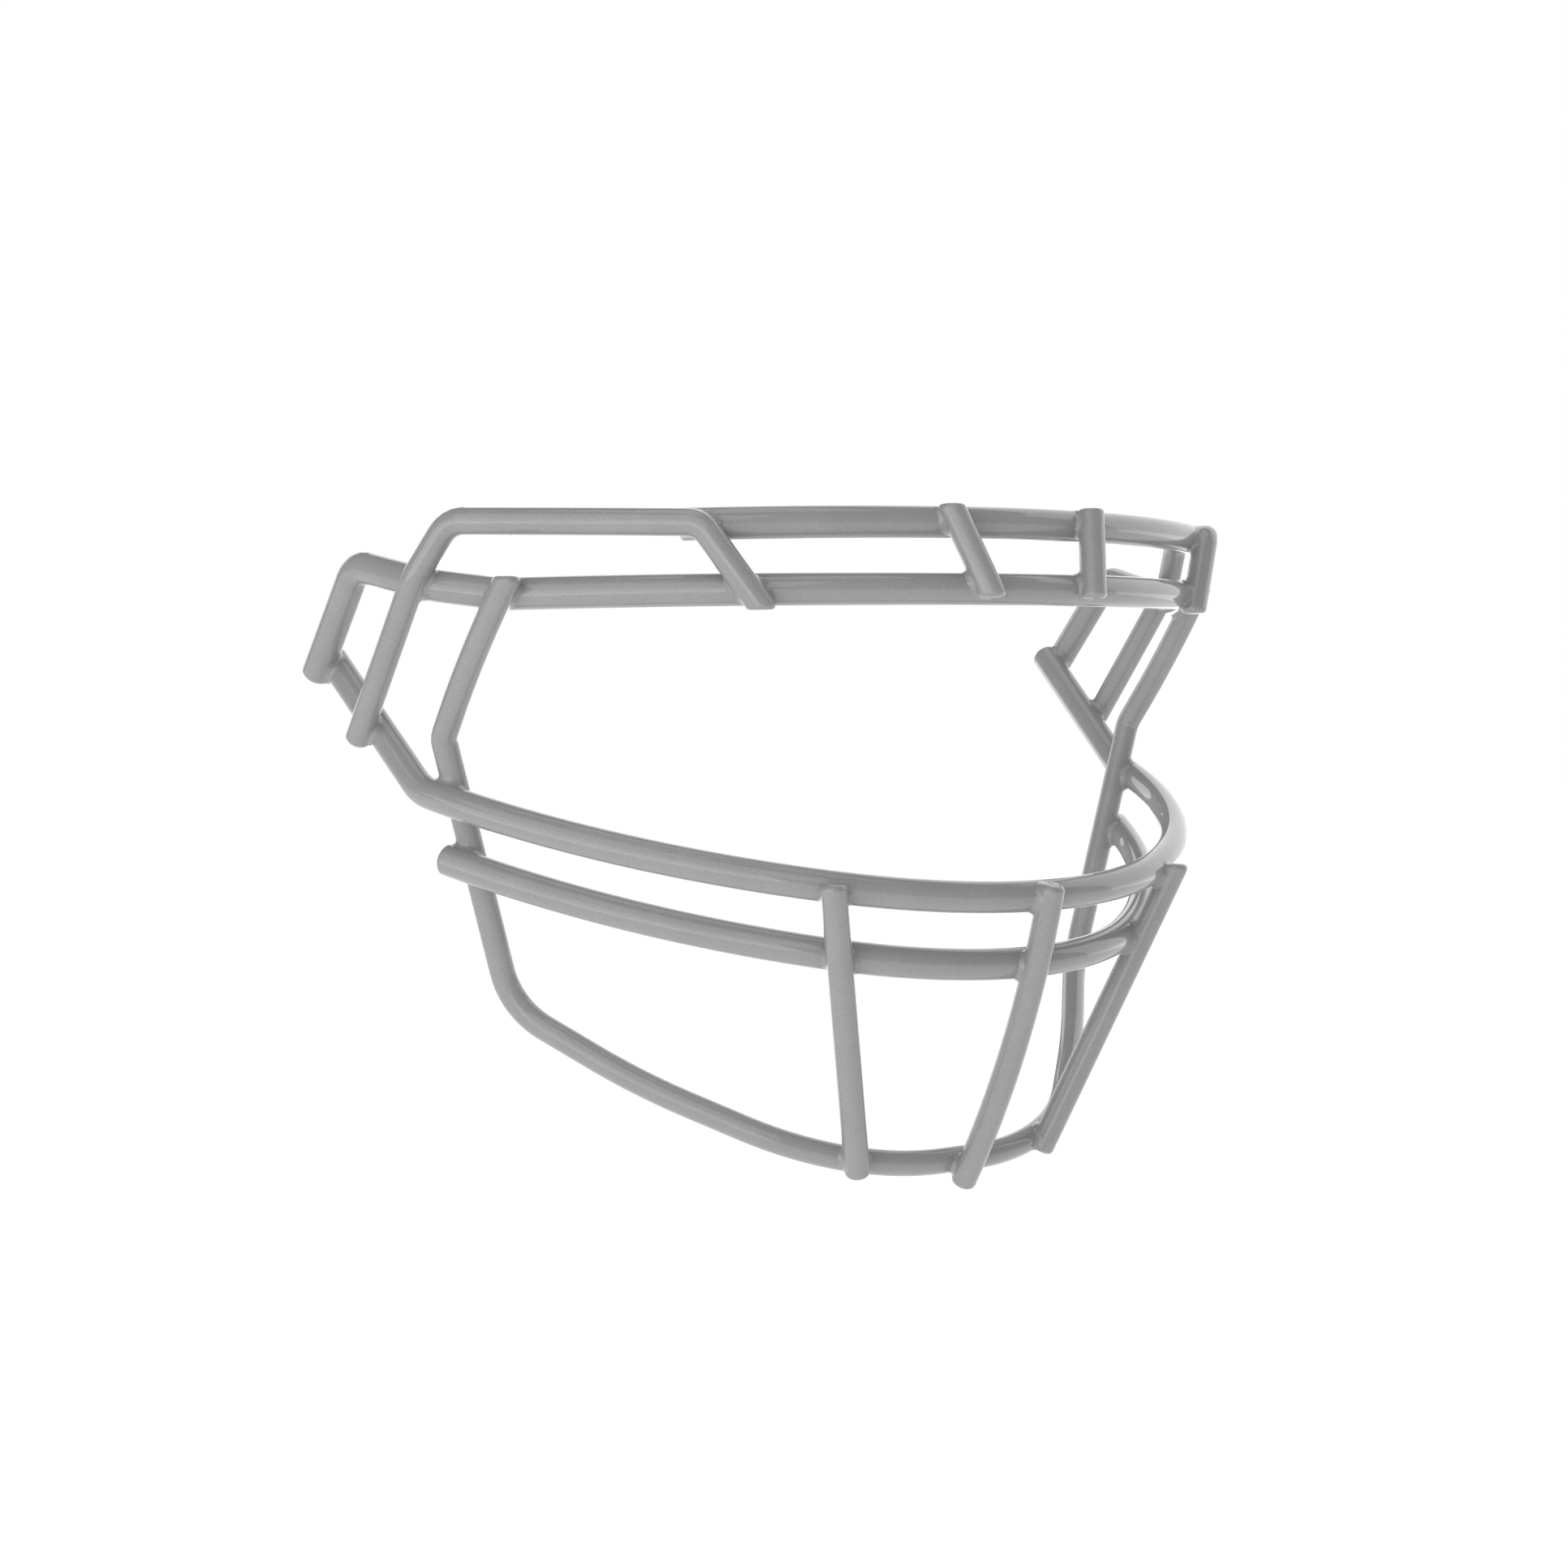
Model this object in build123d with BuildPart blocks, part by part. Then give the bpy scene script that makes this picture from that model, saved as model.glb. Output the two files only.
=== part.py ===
from build123d import *
from math import acos, ceil, copysign, radians, tan
import os

# Wire guard for the front of a football helmet: bent steel bars, welded and coated.
# Millimetres. X runs to the wearer's left, -Y forward, +Z up, with the lower brow bar level.
# The origin is the middle of the guard's overall box, and X = 0 is its mirror plane.
# Routes are drawn for the right side and mirrored. Diameters are over the coating.

os.makedirs("parts", exist_ok=True)

# Bars and their welds
heavy_bar = 7.6
light_bar = 6.35
weld_set_down = 2.0
rear_set_down = 3.3
jaw_cheek_set_down = 2.6
centre_top_set_down = 2.9
centre_foot_set_down = 1.0
side_foot_set_down = 2.9

# Lower brow bar: a level arc over the eyes, up over the temple, round a corner and down a leg
brow_level = 62.8
brow_front = 61.0
brow_radius = 121.0
brow_half_angle = 58.5
brow_run = 7.0
temple_kink_radius = 12.0
temple_bend_out = 9.4
temple_bend_back = 17.4
temple_bend_rise = 2.6
temple_bend_radius = 40.0
temple_corner_out = 6.1
temple_corner_back = 24.5
temple_corner_rise = 5.4
temple_corner_radius = 10.0
rear_leg_in = 0.9
rear_leg_back = 23.4
rear_leg_drop = 26.3

# Upper brow bar: one arc, a little lower at its ends
brow_spacing = 15.8
upper_brow_front = 55.7
upper_brow_radius = 150.0
upper_brow_half_angle = 32.5
upper_brow_tilt = 2.1

# Cheek bar: two radii in a tilted plane, then a bend up to the rear leg
sight_opening = 72.3
cheek_front = 62.9
cheek_tilt = 15.6
cheek_front_radius = 94.5
cheek_front_half_angle = 31.0
cheek_side_radius = 144.0
cheek_side_angle = 40.05
cheek_run = 7.6
cheek_bend_radius = 14.0
cheek_seat_up_leg = 3.6
cheek_overhang = 2.2

# Jaw loop: under the chin, up inside the cheek bar, then up to the lower brow bar
chin_drop = 138.8
chin_front = 31.0
chin_half_flat = 5.0
chin_bend_radius = 63.0
jaw_sweep_out = 37.2
jaw_sweep_back = 34.7
jaw_sweep_rise = 21.3
jaw_sweep_radius = 190.0
jaw_corner_out = 21.5
jaw_corner_back = 23.0
jaw_corner_rise = 18.0
jaw_corner_radius = 20.0
jaw_kink_above_cheek = 13.5
jaw_kink_radius = 8.0
jaw_seat_past_brow = 5.0
jaw_top_bow = 0.9
jaw_overhang = 3.4

# Uprights from the cheek bar to the chin
upright_seat_along_side = 1.9
upright_seat_along_jaw = 29.0
upright_top_overhang = 2.4
upright_foot_overhang = 2.3
centre_upright_bow = 2.7
centre_top_overhang = 4.8
centre_foot_overhang = 4.0

# Struts between the brow bars
strut_top_angle = 7.9
strut_foot_angle = 7.6
strut_top_overhang = 2.2
strut_foot_overhang = 3.3

# Mouth bar: behind the uprights and outside the jaw loop
mouth_seat_down_centre = 17.1
mouth_seat_down_side = 17.9
mouth_seat_down_jaw = 17.065
mouth_overhang = 6.2

# Temple loop: from the cheek bar's rear run up over the temple, forward and down to the brow
loop_seat_up_cheek = 22.7
loop_foot_overhang = 3.2
loop_knee_rise = 3.0
loop_knee_radius = 12.0
loop_rear_in = 4.5
loop_rear_forward = 8.5
loop_rear_rise = 12.8
loop_rear_radius = 14.0
loop_top_bow = 2.3
loop_front_angle = 30.8
loop_front_radius = 6.0
loop_toe_angle = 33.8
loop_toe_overhang = 4.6

# Share of a gently bowed run that its arc takes
bow_arc_share = 0.7

# A bend is a row of mitres, which stand out from its arc by no more than this and turn no further
mitre_error = 0.7
widest_mitre = 26.0

inward = Vector(1, 0, 0)
outward = Vector(-1, 0, 0)
forward = Vector(0, -1, 0)
backward = Vector(0, 1, 0)
upward = Vector(0, 0, 1)


def face_plane(front, level, tilt):
    """Plane of an arc round the face, with its origin at the arc's foremost point."""
    return Plane(origin=(0, -front, level), x_dir=(1, 0, 0), z_dir=upward.rotate(Axis.X, tilt))


def beside(spot, host_run, bar_run, bars, side, set_down=weld_set_down):
    """Centre of a bar that crosses a host bar at a spot and is welded to one side of it."""
    distance = sum(bars) / 2 - set_down
    across = host_run.cross(bar_run).normalized()
    return spot + across * copysign(distance, across.dot(side))


def along(route, distance):
    """Point so far along a route."""
    return route.position_at(distance, PositionMode.LENGTH)


def run_at(route, distance):
    """Direction of a route so far along it."""
    return route.tangent_at(distance, PositionMode.LENGTH)


def past(start, end, overhang):
    """Point beyond the end of a run, in line with it."""
    return end + (end - start).normalized() * overhang


def bend_reach(run_in, run_out, radius):
    """Distance from the corner between two runs to where the bend that rounds it starts."""
    return radius * tan(radians(run_in.get_angle(run_out)) / 2)


def bowed(start, end, bow, side):
    """Corner between two points, and its radius, that bow a bar to one side at the middle."""
    half_run = (end - start) / 2
    along_run = half_run.normalized()
    square = (side - along_run * side.dot(along_run)).normalized()
    corner_out = bow / (1 - bow_arc_share / 2)
    return start + half_run + square * corner_out, bow_arc_share * half_run.length**2 / corner_out


def mirrored(half):
    """Whole route from its right half, which starts at the mirror plane."""
    with BuildLine() as whole:
        add(half)
        mirror(about=Plane.YZ)
    return whole.wire()


def mitred(route):
    """Ends of a route, and the corners between them that turn its arcs into straight spans."""
    corners = [route @ 0]
    for edge in route.order_edges():
        if edge.geom_type != GeomType.CIRCLE:
            continue
        forwards = (edge @ 0 - corners[-1]).length < (edge @ 1 - corners[-1]).length
        turn = edge.length / edge.radius
        closest_turn = 2 * acos(edge.radius / (edge.radius + mitre_error))
        spans = ceil(turn / min(closest_turn, radians(widest_mitre)))
        for span in range(spans):
            part_way = span / spans if forwards else 1 - span / spans
            heading = edge % part_way if forwards else -(edge % part_way)
            corners.append(edge @ part_way + heading * edge.radius * tan(turn / spans / 2))
    return [*corners, route @ 1]


def round_bar(route, diameter):
    """Round bar along a route, mitred where it bends."""
    with BuildPart(mode=Mode.PRIVATE) as bar:
        with BuildLine() as centre_line:
            Polyline(*mitred(route))
        with BuildSketch(Plane(centre_line.line @ 0, z_dir=centre_line.line % 0)):
            Circle(diameter / 2)
        sweep(transition=Transition.RIGHT)
    return bar.part


def seat_on(*hosts):
    """Notch the bar being built for the bars that it is welded to."""
    for host in hosts:
        add(host.part, mode=Mode.SUBTRACT)


# Route of the lower brow bar
with BuildLine(face_plane(brow_front, brow_level, 0)) as brow:
    brow_arc = JernArc((0, 0), (-1, 0), brow_radius, -brow_half_angle)
temple_kink = past(brow_arc @ 1 - brow_arc % 1, brow_arc @ 1, brow_run)
temple_bend = temple_kink + Vector(-temple_bend_out, temple_bend_back, temple_bend_rise)
temple_corner = temple_bend + Vector(-temple_corner_out, temple_corner_back, temple_corner_rise)
rear_leg_end = temple_corner + Vector(rear_leg_in, rear_leg_back, -rear_leg_drop)
with BuildLine() as temple:
    add(brow_arc)
    FilletPolyline(
        brow_arc @ 1,
        temple_kink,
        temple_bend,
        temple_corner,
        rear_leg_end,
        radius=(temple_kink_radius, temple_bend_radius, temple_corner_radius),
    )
lower_brow_route = mirrored(temple.line)

# Route of the upper brow bar
with BuildLine(face_plane(upper_brow_front, brow_level + brow_spacing, -upper_brow_tilt)) as forehead:
    upper_brow_arc = JernArc((0, 0), (-1, 0), upper_brow_radius, -upper_brow_half_angle)
upper_brow_route = mirrored(forehead.line)

# Route of the cheek bar, which ends inside the lower brow bar's rear leg
cheek_level = brow_level - sight_opening
with BuildLine(face_plane(cheek_front, cheek_level, cheek_tilt)) as cheek_arcs:
    cheek_front_arc = JernArc((0, 0), (-1, 0), cheek_front_radius, -cheek_front_half_angle)
    cheek_side = JernArc(cheek_front_arc @ 1, cheek_front_arc % 1, cheek_side_radius, -cheek_side_angle)
cheek_bend = past(cheek_side @ 1 - cheek_side % 1, cheek_side @ 1, cheek_run)
rear_weld = past(temple_corner, rear_leg_end, -cheek_seat_up_leg)
rear_seat = beside(
    rear_weld,
    rear_leg_end - temple_corner,
    rear_weld - cheek_bend,
    (heavy_bar, heavy_bar),
    inward,
    rear_set_down,
)
cheek_end = past(cheek_bend, rear_seat, cheek_overhang)
with BuildLine() as cheek:
    add(cheek_arcs.line)
    FilletPolyline(cheek_side @ 1, cheek_bend, cheek_end, radius=cheek_bend_radius)
cheek_route = mirrored(cheek.line)

# Route of the jaw loop, which runs inside the cheek bar and ends outside the lower brow bar
chin_level = brow_level - chin_drop
chin_middle = Vector(0, -chin_front, chin_level)
jaw_sweep_run = Vector(-jaw_sweep_out, jaw_sweep_back, jaw_sweep_rise)
chin_bend_reach = bend_reach(outward, jaw_sweep_run, chin_bend_radius)
chin_bend = chin_middle + outward * (chin_half_flat + chin_bend_reach)
jaw_sweep = chin_bend + jaw_sweep_run
jaw_corner = jaw_sweep + Vector(-jaw_corner_out, jaw_corner_back, jaw_corner_rise)
cheek_weld = cheek_side @ 1
jaw_seat = beside(
    cheek_weld,
    cheek_side % 1,
    cheek_weld - jaw_corner,
    (heavy_bar, light_bar),
    inward,
    jaw_cheek_set_down,
)
jaw_kink = past(jaw_corner, jaw_seat, jaw_kink_above_cheek)
brow_weld = past(temple_kink, brow_arc @ 1, -jaw_seat_past_brow)
jaw_top = beside(
    brow_weld,
    brow_arc % 1,
    brow_weld - jaw_kink,
    (heavy_bar, light_bar),
    outward,
)
jaw_end = past(jaw_kink, jaw_top, jaw_overhang)
jaw_bow, jaw_bow_radius = bowed(jaw_kink, jaw_end, jaw_top_bow, outward)
with BuildLine() as jaw:
    jaw_side = FilletPolyline(
        chin_middle,
        chin_bend,
        jaw_sweep,
        jaw_corner,
        jaw_kink,
        jaw_bow,
        jaw_end,
        radius=(chin_bend_radius, jaw_sweep_radius, jaw_corner_radius, jaw_kink_radius, jaw_bow_radius),
    )
jaw_route = mirrored(jaw.line)

# Routes of the uprights, which stand outside the cheek bar and the jaw loop
upright_cheek_weld = along(cheek_side, upright_seat_along_side)
upright_jaw_weld = along(jaw_side, upright_seat_along_jaw)
upright_run = upright_jaw_weld - upright_cheek_weld
upright_top = beside(
    upright_cheek_weld,
    run_at(cheek_side, upright_seat_along_side),
    upright_run,
    (heavy_bar, light_bar),
    forward,
)
upright_foot = beside(
    upright_jaw_weld,
    run_at(jaw_side, upright_seat_along_jaw),
    upright_run,
    (light_bar, light_bar),
    forward,
    side_foot_set_down,
)
with BuildLine() as upright_route:
    Line(
        past(upright_foot, upright_top, upright_top_overhang),
        past(upright_top, upright_foot, upright_foot_overhang),
    )
cheek_middle = cheek_front_arc @ 0
centre_run = chin_middle - cheek_middle
centre_top = beside(
    cheek_middle,
    inward,
    centre_run,
    (heavy_bar, light_bar),
    forward,
    centre_top_set_down,
)
centre_foot = beside(
    chin_middle,
    inward,
    centre_run,
    (light_bar, light_bar),
    forward,
    centre_foot_set_down,
)
centre_square = centre_run.cross(inward).normalized()
with BuildLine() as centre_upright_route:
    centre_path = ThreePointArc(
        centre_top,
        (centre_top + centre_foot) / 2 + centre_square * centre_upright_bow,
        centre_foot,
    )
    Line(centre_top, centre_top - (centre_path % 0) * centre_top_overhang)
    Line(centre_foot, centre_foot + (centre_path % 1) * centre_foot_overhang)

# Route of the mouth bar, which runs behind the uprights and outside the jaw loop
centre_mouth_weld = along(centre_path, mouth_seat_down_centre)
side_mouth_weld = past(upright_foot, upright_top, -mouth_seat_down_side)
jaw_mouth_weld = past(jaw_corner, jaw_seat, -mouth_seat_down_jaw)
mouth_middle = beside(
    centre_mouth_weld,
    run_at(centre_path, mouth_seat_down_centre),
    inward,
    (heavy_bar, light_bar),
    backward,
)
mouth_side = beside(
    side_mouth_weld,
    upright_run,
    side_mouth_weld - centre_mouth_weld,
    (heavy_bar, light_bar),
    backward,
)
mouth_end = beside(
    jaw_mouth_weld,
    jaw_seat - jaw_corner,
    jaw_mouth_weld - side_mouth_weld,
    (heavy_bar, light_bar),
    outward,
)
with BuildLine() as mouth:
    mouth_front_arc = TangentArc(mouth_middle, mouth_side, tangent=outward)
    mouth_side_arc = TangentArc(mouth_side, mouth_end, tangent=mouth_front_arc % 1)
    Line(mouth_end, mouth_end + (mouth_side_arc % 1) * mouth_overhang)
mouth_route = mirrored(mouth.line)

# Routes of the struts, which stand outside both brow bars
strut_top_weld = upper_brow_arc @ (strut_top_angle / upper_brow_half_angle)
strut_foot_weld = brow_arc @ (strut_foot_angle / brow_half_angle)
strut_run = strut_foot_weld - strut_top_weld
strut_top = beside(
    strut_top_weld,
    upper_brow_arc % (strut_top_angle / upper_brow_half_angle),
    strut_run,
    (heavy_bar, light_bar),
    forward,
)
strut_foot = beside(
    strut_foot_weld,
    brow_arc % (strut_foot_angle / brow_half_angle),
    strut_run,
    (heavy_bar, light_bar),
    forward,
)
with BuildLine() as strut_route:
    Line(
        past(strut_foot, strut_top, strut_top_overhang),
        past(strut_top, strut_foot, strut_foot_overhang),
    )

# Route of the temple loop, which runs outside the bars that it joins
loop_cheek_weld = past(cheek_end, cheek_bend, -loop_seat_up_cheek)
loop_knee = beside(
    temple_bend,
    temple_corner - temple_kink,
    temple_bend - loop_cheek_weld,
    (heavy_bar, light_bar),
    outward,
) + upward * loop_knee_rise
loop_foot_seat = beside(
    loop_cheek_weld,
    cheek_end - cheek_bend,
    loop_knee - loop_cheek_weld,
    (heavy_bar, light_bar),
    outward,
)
loop_rear = loop_knee + Vector(loop_rear_in, -loop_rear_forward, loop_rear_rise)
loop_toe_weld = brow_arc @ (loop_toe_angle / brow_half_angle)
loop_front_weld = upper_brow_arc @ (loop_front_angle / upper_brow_half_angle)
loop_toe_run = loop_toe_weld - loop_front_weld
loop_front = beside(
    loop_front_weld,
    upper_brow_arc % (loop_front_angle / upper_brow_half_angle),
    loop_toe_run,
    (heavy_bar, light_bar),
    forward,
)
loop_toe = beside(
    loop_toe_weld,
    brow_arc % (loop_toe_angle / brow_half_angle),
    loop_toe_run,
    (heavy_bar, light_bar),
    forward,
)
loop_bow, loop_bow_radius = bowed(loop_rear, loop_front, loop_top_bow, outward)
with BuildLine() as temple_loop_route:
    FilletPolyline(
        past(loop_knee, loop_foot_seat, loop_foot_overhang),
        loop_knee,
        loop_rear,
        loop_bow,
        loop_front,
        past(loop_front, loop_toe, loop_toe_overhang),
        radius=(loop_knee_radius, loop_rear_radius, loop_bow_radius, loop_front_radius),
    )

# Bars, each notched for the ones that it is welded to
with BuildPart() as lower_brow_bar:
    add(round_bar(lower_brow_route, heavy_bar))
lower_brow_bar.part.label = "lower_brow_bar"
export_step(lower_brow_bar.part, "parts/lower_brow_bar.step")

with BuildPart() as upper_brow_bar:
    add(round_bar(upper_brow_route, heavy_bar))
upper_brow_bar.part.label = "upper_brow_bar"
export_step(upper_brow_bar.part, "parts/upper_brow_bar.step")

with BuildPart() as cheek_bar:
    add(round_bar(cheek_route, heavy_bar))
    seat_on(lower_brow_bar)
cheek_bar.part.label = "cheek_bar"
export_step(cheek_bar.part, "parts/cheek_bar.step")

with BuildPart() as mouth_bar:
    add(round_bar(mouth_route, heavy_bar))
mouth_bar.part.label = "mouth_bar"
export_step(mouth_bar.part, "parts/mouth_bar.step")

with BuildPart() as jaw_loop:
    add(round_bar(jaw_route, light_bar))
    seat_on(lower_brow_bar, cheek_bar, mouth_bar)
jaw_loop.part.label = "jaw_loop"
export_step(jaw_loop.part, "parts/jaw_loop.step")

with BuildPart() as right_temple_loop:
    add(round_bar(temple_loop_route.wire(), light_bar))
    seat_on(lower_brow_bar, upper_brow_bar, cheek_bar)
right_temple_loop.part.label = "right_temple_loop"
export_step(right_temple_loop.part, "parts/right_temple_loop.step")

with BuildPart() as left_temple_loop:
    add(right_temple_loop.part.mirror(Plane.YZ))
left_temple_loop.part.label = "left_temple_loop"
export_step(left_temple_loop.part, "parts/left_temple_loop.step")

with BuildPart() as right_upright:
    add(round_bar(upright_route.wire(), light_bar))
    seat_on(cheek_bar, mouth_bar, jaw_loop)
right_upright.part.label = "right_upright"
export_step(right_upright.part, "parts/right_upright.step")

with BuildPart() as left_upright:
    add(right_upright.part.mirror(Plane.YZ))
left_upright.part.label = "left_upright"
export_step(left_upright.part, "parts/left_upright.step")

with BuildPart() as centre_upright:
    add(round_bar(centre_upright_route.wire(), light_bar))
    seat_on(cheek_bar, mouth_bar, jaw_loop)
centre_upright.part.label = "centre_upright"
export_step(centre_upright.part, "parts/centre_upright.step")

with BuildPart() as right_brow_strut:
    add(round_bar(strut_route.wire(), light_bar))
    seat_on(lower_brow_bar, upper_brow_bar)
right_brow_strut.part.label = "right_brow_strut"
export_step(right_brow_strut.part, "parts/right_brow_strut.step")

with BuildPart() as left_brow_strut:
    add(right_brow_strut.part.mirror(Plane.YZ))
left_brow_strut.part.label = "left_brow_strut"
export_step(left_brow_strut.part, "parts/left_brow_strut.step")
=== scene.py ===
from collections import namedtuple
from copy import copy
from math import atan2, copysign, cos, pi, radians, sin, tan

import bpy
import numpy as np
from mathutils import Matrix, Vector


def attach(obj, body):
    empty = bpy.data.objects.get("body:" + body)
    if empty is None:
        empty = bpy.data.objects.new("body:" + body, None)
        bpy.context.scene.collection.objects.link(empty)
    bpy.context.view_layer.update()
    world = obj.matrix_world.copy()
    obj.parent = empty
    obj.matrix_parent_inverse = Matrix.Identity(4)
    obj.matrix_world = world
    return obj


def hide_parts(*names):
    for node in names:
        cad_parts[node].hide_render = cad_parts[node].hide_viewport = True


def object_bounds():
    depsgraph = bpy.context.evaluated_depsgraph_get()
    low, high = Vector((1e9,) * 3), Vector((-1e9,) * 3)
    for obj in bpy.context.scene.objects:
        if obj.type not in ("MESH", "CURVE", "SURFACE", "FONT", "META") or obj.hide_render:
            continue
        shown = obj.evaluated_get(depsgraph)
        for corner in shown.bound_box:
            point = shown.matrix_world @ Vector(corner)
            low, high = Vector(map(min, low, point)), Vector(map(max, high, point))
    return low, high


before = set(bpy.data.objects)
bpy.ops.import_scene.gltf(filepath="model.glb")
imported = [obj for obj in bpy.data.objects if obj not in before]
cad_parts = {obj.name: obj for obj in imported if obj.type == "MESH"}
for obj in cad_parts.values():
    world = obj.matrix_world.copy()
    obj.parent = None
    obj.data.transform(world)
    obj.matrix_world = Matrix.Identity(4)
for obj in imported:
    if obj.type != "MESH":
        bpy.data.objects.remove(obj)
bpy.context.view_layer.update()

# Routes and sizes are in millimetres, and meshes in metres.
# X runs to the wearer's left, -Y forward, +Z up. Routes are drawn for the right side and mirrored.
MM = 0.001

# Bars and their welds
heavy_bar = 7.6
light_bar = 6.35
weld_set_down = 2.0
rear_set_down = 3.3
jaw_cheek_set_down = 2.6
centre_top_set_down = 2.9
centre_foot_set_down = 1.0
side_foot_set_down = 2.9

# Lower brow bar
brow_level = 62.8
brow_front = 61.0
brow_radius = 121.0
brow_half_angle = 58.5
brow_run = 7.0
temple_kink_radius = 12.0
temple_bend_step = Vector((-9.4, 17.4, 2.6))
temple_bend_radius = 40.0
temple_corner_step = Vector((-5.9, 24.5, 5.4))
temple_corner_radius = 6.5
rear_leg_step = Vector((0.7, 23.4, -26.3))

# Upper brow bar
brow_spacing = 15.8
upper_brow_front = 55.7
upper_brow_radius = 150.0
upper_brow_half_angle = 32.5
upper_brow_tilt = 2.1

# Cheek bar
sight_opening = 72.3
cheek_front = 62.9
cheek_tilt = 15.6
cheek_front_radius = 94.5
cheek_front_half_angle = 31.0
cheek_side_radius = 144.0
cheek_side_angle = 40.05
cheek_run = 7.6
cheek_bend_radius = 14.0
cheek_seat_up_leg = 3.6
cheek_overhang = 2.2

# Jaw loop
chin_drop = 138.8
chin_front = 31.0
chin_half_flat = 5.0
chin_bend_radius = 63.0
jaw_sweep_step = Vector((-37.2, 34.7, 21.3))
jaw_sweep_radius = 190.0
jaw_corner_step = Vector((-21.5, 23.0, 18.0))
jaw_corner_radius = 20.0
jaw_kink_above_cheek = 13.5
jaw_kink_radius = 4.5
jaw_seat_past_brow = 5.0
jaw_top_bow = 0.9
jaw_overhang = 6.4

# Uprights and struts
upright_seat_along_side = 1.9
upright_seat_along_jaw = 29.0
upright_top_overhang = 3.2
upright_foot_overhang = 2.3
centre_upright_bow = 2.7
centre_top_overhang = 4.8
centre_foot_overhang = 4.0
strut_top_angle = 7.9
strut_foot_angle = 7.6
strut_top_overhang = 2.9
strut_foot_overhang = 4.0

# Mouth bar
mouth_seat_down_centre = 17.1
mouth_seat_down_side = 17.9
mouth_seat_down_jaw = 17.065
mouth_overhang = 6.2

# Temple loop
loop_seat_up_cheek = 22.7
loop_foot_overhang = 3.2
loop_knee_rise = 3.0
loop_knee_radius = 12.0
loop_rear_step = Vector((4.5, -8.5, 12.8))
loop_rear_radius = 7.5
loop_top_bow = 2.3
loop_front_angle = 30.8
loop_front_radius = 6.0
loop_toe_angle = 33.8
loop_toe_overhang = 5.9

# Share of a bowed run that its bend takes up
bow_arc_share = 0.7

# Coating on a cut end: its rounded edge, its crown, and the length over which rings lean to a level cut
end_edge_radius = 1.3
end_crown = 0.1
level_reach = 8.0

# Coating along a weld: its fillet, which shrinks over the last stretch before a bar's end
weld_fillet = 1.5
end_fillet = 0.8
jaw_end_fillet = 1.4
end_fillet_reach = 2.5

# A fillet ends a hair under its host's surface and runs on a little way inside the host. It is found in
# rounds, each of which moves the surface by a share of what is left.
fillet_sink = 0.02
fillet_run_on = 0.7
fillet_rounds = 30
fillet_pace = 0.6

# Mesh: sides round a bar, steps between its rings away from welds and beside them, how far from a weld
# the fine steps reach, and the steps in which welds are looked for
sides = 72
long_step = 1.6
weld_step = 0.28
weld_reach = 4.0
probe_step = 1.0

# Fixes where the first ring's first point lies: square to this direction. No bar starts along it.
ring_guide = (0.3, 0.2, 1.0)

# Mesh of a cut end: rings round its edge, and rings over its face by their share of the face's radius
edge_steps = 7
face_shares = (0.8, 0.5, 0.2)

# A bar's line is followed this far past its ends, to tell how far beyond them a point lies
end_margin = 12.0

# Looks of the coating: satin grey under a clear skin, with fine grain and faint clouds
satin_roughness = 0.45
satin_gloss = 0.2
skin_roughness = 0.02
skin_index = 1.5
grain_scale = 2600.0
grain_detail = 2.0
grain_roughness = 0.6
grain_strength = 0.06
grain_height = 0.0001
cloud_scale = 90.0
cloud_detail = 3.0
cloud_roughness = 0.5
cloud_share = 0.35
dark_grey = (0.235, 0.235, 0.237, 1)
light_grey = (0.322, 0.322, 0.324, 1)
dark_up_to = 0.35

# Studio, in metres. Its floor is pale and lit from beneath like a light table, so that no shadow or far
# edge shows on it.
white = (1, 1, 1, 1)
floor_size = 12.0
floor_drop = 0.30
floor_colour = (0.12, 0.12, 0.12, 1)
floor_roughness = 0.9
floor_glow = 0.99

# Light of the room, and its soft boxes: bearing from the front in degrees, distance and height in
# metres, width and height of the box in metres, and radiance
room_light = 0.3
soft_boxes = {
    "left_box": (-72, 1.3, 0.0, (1.9, 0.85), 1.55),
    "left_upper_box": (-58, 1.02, 0.8, (1.7, 0.85), 0.95),
    "right_box": (108, 1.3, 0.42, (2.6, 2.0), 1.08),
    "back_box": (180, 1.3, 0.1, (0.75, 1.1), 1.2),
    "top_box": (0, 0.01, 1.5, (1.0, 1.0), 1.0),
}

# Camera at the photograph's angle: degrees round from the front, up and of roll, then millimetres
camera_turn = -36.26
camera_rise = 1.90
camera_roll = -0.65
camera_distance = 764.4
camera_right = -6.52
camera_up = 12.29
camera_aim = Vector((0, 27.6, 2.8))
camera_view_angle = 30.0

# Nearest and farthest that the camera sees, in metres
camera_clip_start = 0.01
camera_clip_end = 50

inward = Vector((1, 0, 0))
outward = Vector((-1, 0, 0))
forward = Vector((0, -1, 0))
backward = Vector((0, 1, 0))
upward = Vector((0, 0, 1))

# Turns a point of the right side into its mirror image on the left
MIRROR = np.array((-1, 1, 1))

# A stretch of a route is straight, or an arc that turns from its heading towards its inner side
Stretch = namedtuple("Stretch", "start heading inner radius length")


def straight(start, end):
    """Straight stretch between two points."""
    return Stretch(start, (end - start).normalized(), None, None, (end - start).length)


def arc(start, heading, inner, radius, angle):
    """Arc from a start and heading, turning by an angle in radians."""
    return Stretch(start, heading.normalized(), inner.normalized(), radius, radius * angle)


def point_on(stretch, distance):
    """Point so far along a stretch."""
    if stretch.radius is None:
        return stretch.start + stretch.heading * distance
    turned = distance / stretch.radius
    sideways = stretch.inner * (stretch.radius * (1 - cos(turned)))
    return stretch.start + stretch.heading * (stretch.radius * sin(turned)) + sideways


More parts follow.
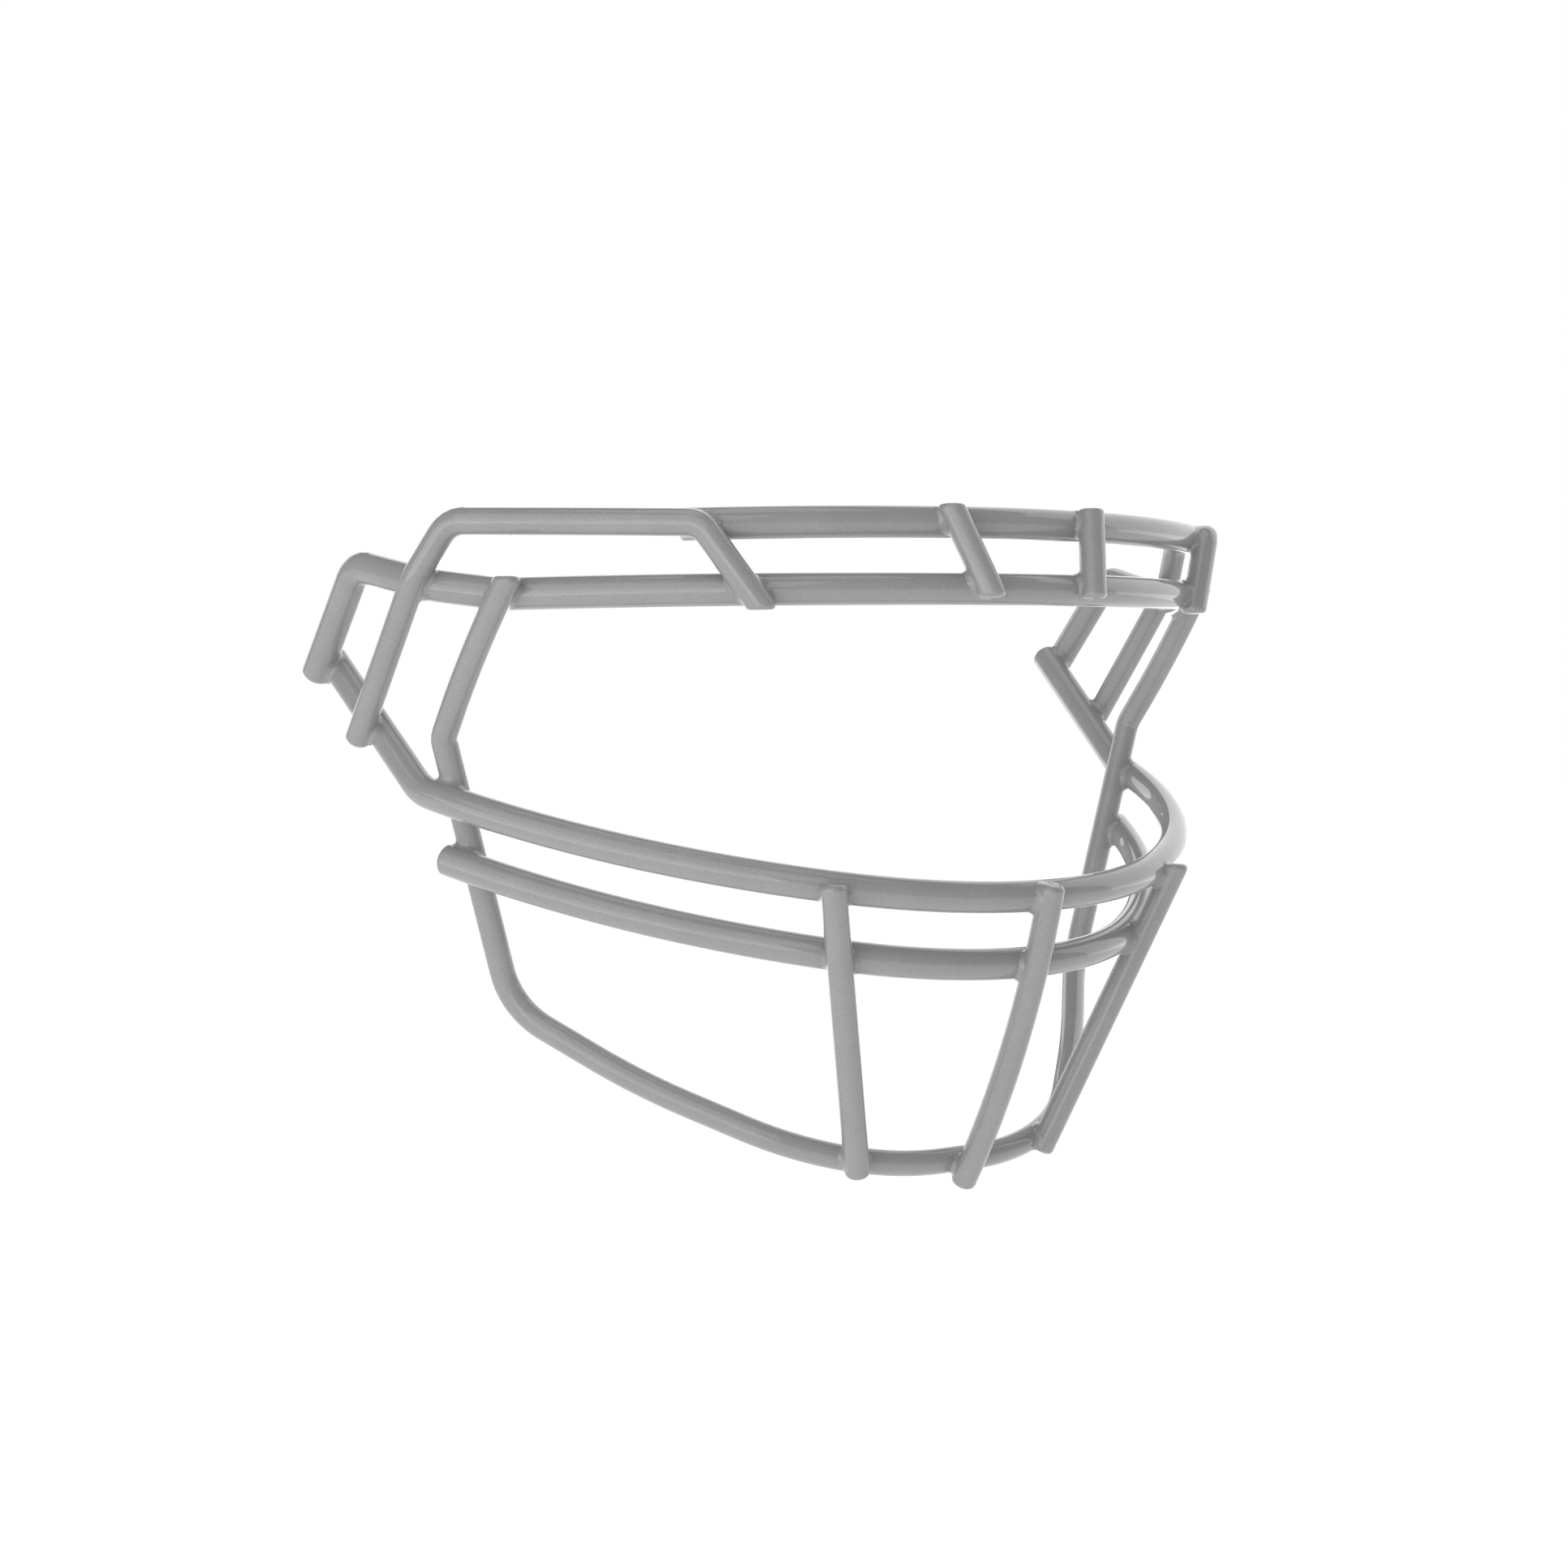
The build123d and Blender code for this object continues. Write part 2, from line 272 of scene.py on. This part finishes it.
def heading_on(stretch, distance):
    """Direction of a stretch so far along it."""
    if stretch.radius is None:
        return stretch.heading.copy()
    turned = distance / stretch.radius
    return stretch.heading * cos(turned) + stretch.inner * sin(turned)


def inner_on(stretch, distance):
    """Direction to the centre of an arc so far along it."""
    turned = distance / stretch.radius
    return stretch.inner * cos(turned) - stretch.heading * sin(turned)


def end_of(stretch):
    """Last point of a stretch."""
    return point_on(stretch, stretch.length)


def end_heading(stretch):
    """Direction in which a stretch ends."""
    return heading_on(stretch, stretch.length)


def rounded(points, radii):
    """Stretches through a row of points, each corner rounded to its radius."""
    stretches = []
    start = points[0]
    for before, corner, after, radius in zip(points, points[1:], points[2:], radii):
        run_in = (corner - before).normalized()
        run_out = (after - corner).normalized()
        angle = run_in.angle(run_out)
        reach = radius * tan(angle / 2)
        stretches.append(straight(start, corner - run_in * reach))
        inner = run_out - run_in * run_out.dot(run_in)
        stretches.append(arc(corner - run_in * reach, run_in, inner, radius, angle))
        start = corner + run_out * reach
    return [*stretches, straight(start, points[-1])]


def tangent_arc(start, end, heading):
    """Arc between two points that starts in a given direction."""
    chord = end - start
    inner = (chord - heading * chord.dot(heading)).normalized()
    half_angle = chord.angle(heading)
    return arc(start, heading, inner, chord.length / (2 * sin(half_angle)), 2 * half_angle)


def bulged_arc(start, end, side, bulge):
    """Arc between two points that stands out to one side by the bulge at its middle."""
    chord = end - start
    run = chord.normalized()
    half_angle = 2 * atan2(2 * bulge, chord.length)
    radius = chord.length / (2 * sin(half_angle))
    heading = run * cos(half_angle) + side * sin(half_angle)
    return arc(start, heading, run * sin(half_angle) - side * cos(half_angle), radius, 2 * half_angle)


def face_arc(front, level, tilt, radius, half_angle):
    """Right half of an arc round the face, from its foremost point, in a tilted plane."""
    back_and_up = Vector((0, cos(radians(tilt)), sin(radians(tilt))))
    return arc(Vector((0, -front, level)), outward, back_and_up, radius, radians(half_angle))


def beside(spot, host_run, bar_run, bars, side, set_down=weld_set_down):
    """Centre of a bar that crosses a host bar at a spot and is welded to one side of it."""
    distance = sum(bars) / 2 - set_down
    across = host_run.cross(bar_run).normalized()
    return spot + across * copysign(distance, across.dot(side))


def past(start, end, overhang):
    """Point beyond the end of a run, in line with it."""
    return end + (end - start).normalized() * overhang


def on_route(route, distance):
    """Stretch of a route that holds a distance along it, and how far that is along the stretch."""
    for stretch in route[:-1]:
        if distance <= stretch.length:
            return stretch, distance
        distance -= stretch.length
    return route[-1], distance


def bend_reach(run_in, run_out, radius):
    """Distance from the corner between two runs to where the bend that rounds it starts."""
    return radius * tan(run_in.angle(run_out) / 2)


def bowed(start, end, bow, side):
    """Corner between two points, and its radius, that bow a bar to one side at the middle."""
    half_run = (end - start) / 2
    along_run = half_run.normalized()
    square = (side - along_run * side.dot(along_run)).normalized()
    corner_out = bow / (1 - bow_arc_share / 2)
    return start + half_run + square * corner_out, bow_arc_share * half_run.length**2 / corner_out


# Route of the lower brow bar
brow_arc = face_arc(brow_front, brow_level, 0, brow_radius, brow_half_angle)
brow_end = end_of(brow_arc)
temple_kink = brow_end + end_heading(brow_arc) * brow_run
temple_bend = temple_kink + temple_bend_step
temple_corner = temple_bend + temple_corner_step
rear_leg_end = temple_corner + rear_leg_step
temple_radii = (temple_kink_radius, temple_bend_radius, temple_corner_radius)
temple_points = (brow_end, temple_kink, temple_bend, temple_corner, rear_leg_end)
lower_brow_route = [brow_arc, *rounded(temple_points, temple_radii)]

# Route of the upper brow bar
upper_brow_arc = face_arc(
    upper_brow_front, brow_level + brow_spacing, -upper_brow_tilt, upper_brow_radius, upper_brow_half_angle
)

# Route of the cheek bar
cheek_level = brow_level - sight_opening
cheek_front_arc = face_arc(cheek_front, cheek_level, cheek_tilt, cheek_front_radius, cheek_front_half_angle)
cheek_side = arc(
    end_of(cheek_front_arc),
    end_heading(cheek_front_arc),
    inner_on(cheek_front_arc, cheek_front_arc.length),
    cheek_side_radius,
    radians(cheek_side_angle),
)
cheek_weld = end_of(cheek_side)
cheek_bend = cheek_weld + end_heading(cheek_side) * cheek_run
rear_weld = past(temple_corner, rear_leg_end, -cheek_seat_up_leg)
rear_bars = (heavy_bar, heavy_bar)
rear_seat = beside(rear_weld, rear_leg_step, rear_weld - cheek_bend, rear_bars, inward, rear_set_down)
cheek_end = past(cheek_bend, rear_seat, cheek_overhang)
cheek_rear = rounded((cheek_weld, cheek_bend, cheek_end), (cheek_bend_radius,))
cheek_route = [cheek_front_arc, cheek_side, *cheek_rear]

# Route of the jaw loop
mixed_bars = (heavy_bar, light_bar)
chin_middle = Vector((0, -chin_front, brow_level - chin_drop))
chin_bend_reach = bend_reach(outward, jaw_sweep_step, chin_bend_radius)
chin_bend = chin_middle + outward * (chin_half_flat + chin_bend_reach)
jaw_sweep = chin_bend + jaw_sweep_step
jaw_corner = jaw_sweep + jaw_corner_step
jaw_seat_run = cheek_weld - jaw_corner
jaw_seat = beside(
    cheek_weld, end_heading(cheek_side), jaw_seat_run, mixed_bars, inward, jaw_cheek_set_down
)
jaw_kink = past(jaw_corner, jaw_seat, jaw_kink_above_cheek)
brow_weld = past(temple_kink, brow_end, -jaw_seat_past_brow)
jaw_top = beside(brow_weld, end_heading(brow_arc), brow_weld - jaw_kink, mixed_bars, outward)
jaw_end = past(jaw_kink, jaw_top, jaw_overhang)
jaw_bow, jaw_bow_radius = bowed(jaw_kink, jaw_end, jaw_top_bow, outward)
jaw_points = (chin_middle, chin_bend, jaw_sweep, jaw_corner, jaw_kink, jaw_bow, jaw_end)
jaw_radii = (chin_bend_radius, jaw_sweep_radius, jaw_corner_radius, jaw_kink_radius, jaw_bow_radius)
jaw_route = rounded(jaw_points, jaw_radii)

# Routes of the uprights
upright_cheek_weld = point_on(cheek_side, upright_seat_along_side)
upright_jaw_spot = on_route(jaw_route, upright_seat_along_jaw)
upright_jaw_weld = point_on(*upright_jaw_spot)
upright_run = upright_jaw_weld - upright_cheek_weld
cheek_run_there = heading_on(cheek_side, upright_seat_along_side)
upright_top = beside(upright_cheek_weld, cheek_run_there, upright_run, mixed_bars, forward)
light_bars = (light_bar, light_bar)
jaw_run_there = heading_on(*upright_jaw_spot)
upright_foot = beside(
    upright_jaw_weld, jaw_run_there, upright_run, light_bars, forward, side_foot_set_down
)
upright_route = [
    straight(
        past(upright_foot, upright_top, upright_top_overhang),
        past(upright_top, upright_foot, upright_foot_overhang),
    )
]
cheek_middle = cheek_front_arc.start
centre_run = chin_middle - cheek_middle
centre_top = beside(cheek_middle, inward, centre_run, mixed_bars, forward, centre_top_set_down)
centre_foot = beside(chin_middle, inward, centre_run, light_bars, forward, centre_foot_set_down)
chord_square = (centre_foot - centre_top).cross(inward).normalized()
centre_path = bulged_arc(centre_top, centre_foot, chord_square, centre_upright_bow)
centre_upright_route = [
    straight(centre_top - centre_path.heading * centre_top_overhang, centre_top),
    centre_path,
    straight(centre_foot, centre_foot + end_heading(centre_path) * centre_foot_overhang),
]

# Route of the mouth bar
centre_mouth_weld = point_on(centre_path, mouth_seat_down_centre)
centre_mouth_run = heading_on(centre_path, mouth_seat_down_centre)
side_mouth_weld = past(upright_foot, upright_top, -mouth_seat_down_side)
jaw_mouth_weld = past(jaw_corner, jaw_seat, -mouth_seat_down_jaw)
mouth_middle = beside(centre_mouth_weld, centre_mouth_run, inward, mixed_bars, backward)
mouth_side_run = side_mouth_weld - centre_mouth_weld
mouth_side = beside(side_mouth_weld, upright_run, mouth_side_run, mixed_bars, backward)
mouth_end_run = jaw_mouth_weld - side_mouth_weld
mouth_end = beside(jaw_mouth_weld, jaw_seat - jaw_corner, mouth_end_run, mixed_bars, outward)
mouth_front_arc = tangent_arc(mouth_middle, mouth_side, outward)
mouth_side_arc = tangent_arc(mouth_side, mouth_end, end_heading(mouth_front_arc))
mouth_tip = mouth_end + end_heading(mouth_side_arc) * mouth_overhang
mouth_route = [mouth_front_arc, mouth_side_arc, straight(mouth_end, mouth_tip)]

# Routes of the struts
strut_top_at = strut_top_angle / upper_brow_half_angle * upper_brow_arc.length
strut_foot_at = strut_foot_angle / brow_half_angle * brow_arc.length
strut_top_weld = point_on(upper_brow_arc, strut_top_at)
strut_foot_weld = point_on(brow_arc, strut_foot_at)
strut_run = strut_foot_weld - strut_top_weld
strut_top = beside(strut_top_weld, heading_on(upper_brow_arc, strut_top_at), strut_run, mixed_bars, forward)
strut_foot = beside(strut_foot_weld, heading_on(brow_arc, strut_foot_at), strut_run, mixed_bars, forward)
strut_route = [
    straight(
        past(strut_foot, strut_top, strut_top_overhang),
        past(strut_top, strut_foot, strut_foot_overhang),
    )
]

# Route of the temple loop
loop_cheek_weld = past(cheek_end, cheek_bend, -loop_seat_up_cheek)
temple_run = temple_corner - temple_kink
loop_knee_seat = beside(temple_bend, temple_run, temple_bend - loop_cheek_weld, mixed_bars, outward)
loop_knee = loop_knee_seat + upward * loop_knee_rise
loop_foot_run = loop_knee - loop_cheek_weld
loop_foot = beside(loop_cheek_weld, cheek_end - cheek_bend, loop_foot_run, mixed_bars, outward)
loop_rear = loop_knee + loop_rear_step
loop_front_at = loop_front_angle / upper_brow_half_angle * upper_brow_arc.length
loop_toe_at = loop_toe_angle / brow_half_angle * brow_arc.length
loop_front_weld = point_on(upper_brow_arc, loop_front_at)
loop_toe_weld = point_on(brow_arc, loop_toe_at)
loop_toe_run = loop_toe_weld - loop_front_weld
loop_front_host_run = heading_on(upper_brow_arc, loop_front_at)
loop_front = beside(loop_front_weld, loop_front_host_run, loop_toe_run, mixed_bars, forward)
loop_toe = beside(loop_toe_weld, heading_on(brow_arc, loop_toe_at), loop_toe_run, mixed_bars, forward)
loop_bow, loop_bow_radius = bowed(loop_rear, loop_front, loop_top_bow, outward)
loop_points = (
    past(loop_knee, loop_foot, loop_foot_overhang),
    loop_knee,
    loop_rear,
    loop_bow,
    loop_front,
    past(loop_front, loop_toe, loop_toe_overhang),
)
loop_radii = (loop_knee_radius, loop_rear_radius, loop_bow_radius, loop_front_radius)
temple_loop_route = rounded(loop_points, loop_radii)


class Bar:
    """A coated round bar along a route: of a whole bar the route is its right half."""

    def __init__(self, route, diameter, whole=False, level_start=False, level_end=False, fillet=end_fillet):
        self.route = route
        self.radius = diameter / 2
        self.whole = whole
        self.left = False
        self.level_start = level_start
        self.level_end = level_end
        self.end_fillet = fillet
        self.end = sum(stretch.length for stretch in route)
        self.start = -self.end if whole else 0.0

    def placed(self, side):
        """The same bar on the right or the left side of the guard."""
        bar = copy(self)
        bar.left = side == "left"
        return bar

    def station(self, distance):
        """Point of the centre line and its heading, at a distance from the route's start."""
        spot = on_route(self.route, abs(distance))
        point = np.array(point_on(*spot))
        heading = np.array(heading_on(*spot))
        if distance < 0:
            return point * MIRROR, -heading * MIRROR
        if self.left:
            return point * MIRROR, heading * MIRROR
        return point, heading

    def folded(self, points):
        """Points brought to the side that the route is drawn on."""
        if self.whole:
            return points * (0, 1, 1) - np.abs(points) * (1, 0, 0)
        return points * MIRROR if self.left else points

    def distance_from(self, points):
        """Signed distance of points from the coated surface, with its rounded ends."""
        places = self.folded(points)
        nearest = np.full(len(places), np.inf)
        along = np.zeros(len(places))
        reached = 0.0
        last = len(self.route) - 1
        for i, stretch in enumerate(self.route):
            lowest = -end_margin if i == 0 and not self.whole else 0.0
            highest = stretch.length + (end_margin if i == last else 0.0)
            away, at = distance_to(stretch, places, lowest, highest)
            closer = away < nearest
            nearest[closer] = away[closer]
            along[closer] = reached + at[closer]
            reached += stretch.length
        past_end = along - reached
        if not self.whole:
            past_end = np.maximum(past_end, -along)
        sideways = nearest - self.radius + end_edge_radius
        endways = past_end + end_edge_radius
        outside = np.hypot(np.maximum(sideways, 0), np.maximum(endways, 0))
        return outside + np.minimum(np.maximum(sideways, endways), 0) - end_edge_radius


def distance_to(stretch, points, lowest, highest):
    """Distance of points from a stretch, and how far along it the nearest spot is."""
    heading = np.array(stretch.heading)
    offset = points - np.array(stretch.start)
    if stretch.radius is None:
        at = np.clip(offset @ heading, lowest, highest)
        return np.linalg.norm(offset - at[:, None] * heading, axis=1), at
    inner = np.array(stretch.inner)
    from_centre = offset - inner * stretch.radius
    angle = np.arctan2(from_centre @ heading, -(from_centre @ inner))
    turned = np.clip(angle, lowest / stretch.radius, highest / stretch.radius)
    spoke = np.sin(turned)[:, None] * heading - np.cos(turned)[:, None] * inner
    return np.linalg.norm(from_centre - stretch.radius * spoke, axis=1), turned * stretch.radius


def fillet_union(first, second, fillet):
    """Distance from two surfaces joined by a round fillet, from the distance to each."""
    rounding = np.hypot(np.maximum(fillet - first, 0), np.maximum(fillet - second, 0))
    return np.maximum(fillet, np.minimum(first, second)) - rounding


def filleted(points, normals, fillets, hosts):
    """Points of a bar's surface, moved out where its coating runs up to the bars it is welded to."""
    reach = np.zeros(len(points))
    for host in hosts:
        close = np.flatnonzero(host.distance_from(points) < fillets)
        if not len(close):
            continue
        start = points[close]
        normal = normals[close]
        fillet = fillets[close]
        out = np.zeros(len(close))
        for _ in range(fillet_rounds):
            host_distance = host.distance_from(start + normal * out[:, None]) + fillet_sink
            out = out - fillet_pace * fillet_union(out, host_distance, fillet)
            out = np.clip(out, 0, fillet + fillet_run_on)
        reach[close] = np.maximum(reach[close], out)
    return points + normals * reach[:, None]


def ring_distances(bar, hosts):
    """Distances of a bar's rings along it: fine beside each weld, and coarser elsewhere."""
    probe = np.arange(bar.start, bar.end, probe_step)
    line = np.array([bar.station(distance)[0] for distance in probe])
    nearest = np.full(len(probe), np.inf)
    for host in hosts:
        nearest = np.minimum(nearest, host.distance_from(line))
    distances = [bar.start + end_edge_radius]
    last = bar.end - end_edge_radius
    while distances[-1] < last:
        gap = np.interp(distances[-1], probe, nearest) - bar.radius
        share = min(1.0, max(0.0, (gap - weld_reach) / weld_reach))
        distances.append(distances[-1] + weld_step + (long_step - weld_step) * share)
    distances = np.array(distances)
    return distances[0] + (distances - distances[0]) * (last - distances[0]) / (distances[-1] - distances[0])


def carried_frames(runs):
    """Cross directions of a bar's rings, carried along it without twist."""
    across = np.empty_like(runs)
    side = np.cross(runs[0], ring_guide)
    for i, run in enumerate(runs):
        side = side - run * (side @ run)
        side = side / np.linalg.norm(side)
        across[i] = side
    return across, np.cross(runs, across)


def cut_end(centre, away, spokes, radius, level):
    """Rings of points and normals over a cut end with a rounded edge, from its wall inwards.

    The cut is square to the bar, or level. Also returned is how far each side of the wall runs on
    past the same spot of a square cut.
    """
    slope = spokes[:, 2] / -away[2] if level else np.zeros(sides)
    steepness = np.sqrt(1 + slope**2)
    edge_centre = radius - end_edge_radius
    edge_at = slope * edge_centre - end_edge_radius * steepness
    turned = (pi / 2 + np.arctan(slope)) * np.linspace(0, 1, edge_steps + 1)[1:, None]
    edge_out = edge_centre + end_edge_radius * np.cos(turned)
    edge_along = edge_at + end_edge_radius * np.sin(turned)
    shares = np.array(face_shares)[:, None]
    out = np.vstack((edge_out, edge_out[-1] * shares))
    along = np.vstack((edge_along, edge_along[-1] * shares + end_crown * (1 - shares**2)))
    points = centre + spokes * out[:, :, None] + away * along[:, :, None]
    turned = np.vstack((turned, np.repeat(turned[-1:], len(face_shares), axis=0)))
    normals = spokes * np.cos(turned)[:, :, None] + away * np.sin(turned)[:, :, None]
    return points, normals, edge_at + end_edge_radius


def bar_surface(bar, hosts):
    """Rings of points on a coated bar, their normals and fillets, and the middles of its two ends."""
    distances = ring_distances(bar, hosts)
    stations = [bar.station(distance) for distance in distances]
    runs = np.array([heading for _, heading in stations])
    centres = np.array([point for point, _ in stations])
    across, up = carried_frames(runs)
    angle = np.arange(sides) * 2 * pi / sides
    spokes = across[:, None] * np.cos(angle)[None, :, None] + up[:, None] * np.sin(angle)[None, :, None]
    start = centres[0] - runs[0] * end_edge_radius
    end = centres[-1] + runs[-1] * end_edge_radius
    start_face, start_normals, lean_back = cut_end(start, -runs[0], spokes[0], bar.radius, bar.level_start)
    end_face, end_normals, lean_on = cut_end(end, runs[-1], spokes[-1], bar.radius, bar.level_end)
    from_start = distances - distances[0]
    from_end = distances[-1] - distances
    shift = np.outer(np.maximum(1 - from_end / level_reach, 0), lean_on)
    shift -= np.outer(np.maximum(1 - from_start / level_reach, 0), lean_back)
    walls = centres[:, None] + spokes * bar.radius + runs[:, None] * shift[:, :, None]
    points = np.concatenate((start_face[::-1], walls, end_face))
    normals = np.concatenate((start_normals[::-1], spokes, end_normals))
    tips = np.array([start - runs[0] * end_crown, end + runs[-1] * end_crown])
    on_face = np.zeros(len(end_face))
    to_end = np.concatenate((on_face, np.minimum(from_start, from_end), on_face))
    fillets = np.interp(to_end, (0, end_fillet_reach), (bar.end_fillet, weld_fillet))
    return points.reshape(-1, 3), normals.reshape(-1, 3), np.repeat(fillets, sides), tips


def bar_mesh(name, bar, hosts):
    """Closed mesh of a coated bar, with fillets where it is welded to its hosts."""
    points, normals, fillets, tips = bar_surface(bar, hosts)
    points = filleted(points, normals, fillets, hosts)
    rings = len(points) // sides
    vertices = np.vstack((points, tips)) * MM
    first_tip = rings * sides
    around = np.arange(sides)
    after = (around + 1) % sides
    rows = np.arange(rings - 1)[:, None] * sides
    walls = np.stack((rows + around, rows + after, rows + sides + after, rows + sides + around), 2)
    last = (rings - 1) * sides
    near_fan = np.stack((np.full(sides, first_tip), after, around), 1)
    far_fan = np.stack((np.full(sides, first_tip + 1), last + around, last + after), 1)
    faces = [*walls.reshape(-1, 4).tolist(), *near_fan.tolist(), *far_fan.tolist()]
    mesh = bpy.data.meshes.new(name)
    mesh.from_pydata(vertices.tolist(), [], faces)
    mesh.validate()
    mesh.polygons.foreach_set("use_smooth", [True] * len(mesh.polygons))
    mesh.update()
    return mesh


def coated_bar(node, bar, hosts, coat):
    """A visible bar that stands for a node of the frame."""
    piece = bpy.data.objects.new(node + "_coated", bar_mesh(node + "_coated", bar, hosts))
    bpy.context.scene.collection.objects.link(piece)
    piece.data.materials.append(coat)
    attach(piece, "root")
    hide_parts(node)


def node_of(tree, kind, **values):
    """A shader node with its sockets set by name."""
    node = tree.nodes.new(kind)
    for name, value in values.items():
        node.inputs[name.replace("_", " ")].default_value = value
    return node


def grey_coating():
    """Satin grey dip coating: fine grain, faint clouding and a clear skin."""
    material = bpy.data.materials.new("grey_coating")
    material.use_nodes = True
    tree = material.node_tree
    shader = tree.nodes["Principled BSDF"]
    shader.inputs["Roughness"].default_value = satin_roughness
    shader.inputs["Specular IOR Level"].default_value = satin_gloss
    shader.inputs["Coat Weight"].default_value = 1.0
    shader.inputs["Coat Roughness"].default_value = skin_roughness
    shader.inputs["Coat IOR"].default_value = skin_index
    place = tree.nodes.new("ShaderNodeTexCoord")
    grain = node_of(
        tree, "ShaderNodeTexNoise", Scale=grain_scale, Detail=grain_detail, Roughness=grain_roughness
    )
    cloud = node_of(
        tree, "ShaderNodeTexNoise", Scale=cloud_scale, Detail=cloud_detail, Roughness=cloud_roughness
    )
    tree.links.new(place.outputs["Object"], grain.inputs["Vector"])
    tree.links.new(place.outputs["Object"], cloud.inputs["Vector"])
    mixed = tree.nodes.new("ShaderNodeMath")
    mixed.operation = "MULTIPLY_ADD"
    mixed.inputs[1].default_value = cloud_share
    tree.links.new(cloud.outputs["Fac"], mixed.inputs[0])
    tree.links.new(grain.outputs["Fac"], mixed.inputs[2])
    ramp = tree.nodes.new("ShaderNodeValToRGB")
    dark, light = ramp.color_ramp.elements
    dark.position = dark_up_to
    dark.color = dark_grey
    light.position = 1.0
    light.color = light_grey
    tree.links.new(mixed.outputs[0], ramp.inputs["Fac"])
    tree.links.new(ramp.outputs["Color"], shader.inputs["Base Color"])
    bump = node_of(tree, "ShaderNodeBump", Strength=grain_strength, Distance=grain_height)
    tree.links.new(grain.outputs["Fac"], bump.inputs["Height"])
    tree.links.new(bump.outputs["Normal"], shader.inputs["Normal"])
    return material


coat = grey_coating()
lower_brow = Bar(lower_brow_route, heavy_bar, whole=True)
upper_brow = Bar([upper_brow_arc], heavy_bar, whole=True)
cheek = Bar(cheek_route, heavy_bar, whole=True)
mouth = Bar(mouth_route, heavy_bar, whole=True)
jaw = Bar(jaw_route, light_bar, whole=True, level_start=True, level_end=True, fillet=jaw_end_fillet)
upright = Bar(upright_route, light_bar, level_start=True)
centre_upright = Bar(centre_upright_route, light_bar)
strut = Bar(strut_route, light_bar, level_start=True, level_end=True)
temple_loop = Bar(temple_loop_route, light_bar, level_end=True)

coated_bar("lower_brow_bar", lower_brow, [], coat)
coated_bar("upper_brow_bar", upper_brow, [], coat)
coated_bar("cheek_bar", cheek, [lower_brow], coat)
coated_bar("mouth_bar", mouth, [], coat)
coated_bar("jaw_loop", jaw, [lower_brow, cheek, mouth], coat)
coated_bar("centre_upright", centre_upright, [cheek, mouth, jaw], coat)
for side in ("right", "left"):
    coated_bar(side + "_temple_loop", temple_loop.placed(side), [lower_brow, upper_brow, cheek], coat)
    coated_bar(side + "_upright", upright.placed(side), [cheek, mouth, jaw], coat)
    coated_bar(side + "_brow_strut", strut.placed(side), [lower_brow, upper_brow], coat)


def pale_floor():
    """Plain white floor below the guard."""
    half = floor_size / 2
    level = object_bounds()[0][2] - floor_drop
    corners = [(-half, -half, level), (half, -half, level), (half, half, level), (-half, half, level)]
    mesh = bpy.data.meshes.new("floor")
    mesh.from_pydata(corners, [], [(0, 1, 2, 3)])
    material = bpy.data.materials.new("floor_white")
    material.use_nodes = True
    shader = material.node_tree.nodes["Principled BSDF"]
    shader.inputs["Base Color"].default_value = floor_colour
    shader.inputs["Roughness"].default_value = floor_roughness
    shader.inputs["Specular IOR Level"].default_value = 0.0
    shader.inputs["Emission Color"].default_value = white
    shader.inputs["Emission Strength"].default_value = floor_glow
    mesh.materials.append(material)
    floor = bpy.data.objects.new("floor", mesh)
    bpy.context.scene.collection.objects.link(floor)


def soft_box(name, bearing, distance, height, size, radiance):
    """Rectangular soft light at a bearing in degrees from the front, facing the guard."""
    data = bpy.data.lights.new(name, "AREA")
    data.shape = "RECTANGLE"
    data.size, data.size_y = size
    data.energy = radiance * pi * size[0] * size[1]
    light = bpy.data.objects.new(name, data)
    bpy.context.scene.collection.objects.link(light)
    place = Vector((sin(radians(bearing)) * distance, -cos(radians(bearing)) * distance, height))
    light.location = place
    light.rotation_euler = (-place).to_track_quat("-Z", "Y").to_euler()
    light.visible_camera = False


def studio_world():
    """White to the camera, and a dim grey room to everything that lights or reflects."""
    world = bpy.data.worlds.new("studio")
    bpy.context.scene.world = world
    world.use_nodes = True
    tree = world.node_tree
    backdrop = tree.nodes["Background"]
    backdrop.inputs["Color"].default_value = white
    room = node_of(tree, "ShaderNodeBackground", Color=white, Strength=room_light)
    path = tree.nodes.new("ShaderNodeLightPath")
    mix = tree.nodes.new("ShaderNodeMixShader")
    tree.links.new(path.outputs["Is Camera Ray"], mix.inputs[0])
    tree.links.new(room.outputs[0], mix.inputs[1])
    tree.links.new(backdrop.outputs[0], mix.inputs[2])
    tree.links.new(mix.outputs[0], tree.nodes["World Output"].inputs["Surface"])


def photo_camera():
    """Camera at the photograph's angle."""
    turn, rise, roll = radians(camera_turn), radians(camera_rise), radians(camera_roll)
    back = Vector((sin(turn) * cos(rise), -cos(turn) * cos(rise), sin(rise)))
    level_right = Vector((cos(turn), sin(turn), 0))
    level_up = back.cross(level_right)
    right = level_right * cos(roll) + level_up * sin(roll)
    up = level_up * cos(roll) - level_right * sin(roll)
    camera = bpy.data.objects.new("camera", bpy.data.cameras.new("camera"))
    bpy.context.scene.collection.objects.link(camera)
    camera.data.sensor_fit = "HORIZONTAL"
    camera.data.angle = radians(camera_view_angle)
    camera.data.clip_start = camera_clip_start
    camera.data.clip_end = camera_clip_end
    place = (camera_aim + back * camera_distance + right * camera_right + up * camera_up) * MM
    facing = Matrix((right, up, back)).transposed()
    camera.matrix_world = Matrix.Translation(place) @ facing.to_4x4()
    bpy.context.scene.camera = camera


pale_floor()
for box_name, box in soft_boxes.items():
    soft_box(box_name, *box)
studio_world()
photo_camera()
bpy.context.scene.view_settings.view_transform = "Standard"
